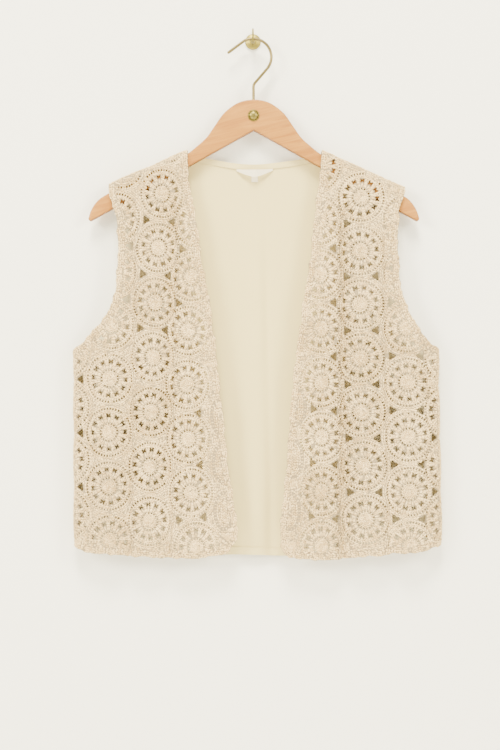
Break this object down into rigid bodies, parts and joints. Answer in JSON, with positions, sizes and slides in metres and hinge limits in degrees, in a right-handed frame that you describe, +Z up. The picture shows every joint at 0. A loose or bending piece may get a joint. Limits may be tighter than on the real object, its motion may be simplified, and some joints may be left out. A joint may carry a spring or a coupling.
{
  "type": "crochet gilet on a hanger",
  "caption": "Sleeveless open-front gilet of round crochet motifs with a plain cloth back, on a flat wooden hanger that hangs from a brass wall hook.",
  "frame": {"origin": "on the wall, behind the wall hook's flat back, 2.2 mm under its middle", "axes": "+X to the picture's right, +Y into the wall, +Z up; the gilet hangs on the -Y side"},
  "size_m": [0.4891, 0.0336, 0.7029],
  "materials": {
    "crochet_cotton": "matt crocheted cotton yarn",
    "cotton_cloth": "matt plain cotton cloth",
    "ribbon": "soft woven ribbon",
    "beech": "thin clear satin lacquer",
    "hook_wire": "polished pale brass plate",
    "brass": "polished brass"
  },
  "bodies": {
    "root": {"front_right": "crochet_cotton", "front_left": "crochet_cotton", "back_panel": "cotton_cloth", "neck_band": "cotton_cloth", "neck_label": "ribbon", "label_tab": "ribbon", "hanger_body": "beech", "hanger_hook": "hook_wire", "hanger_rivet": "brass", "wall_hook": "brass"}
  },
  "joints": []
}
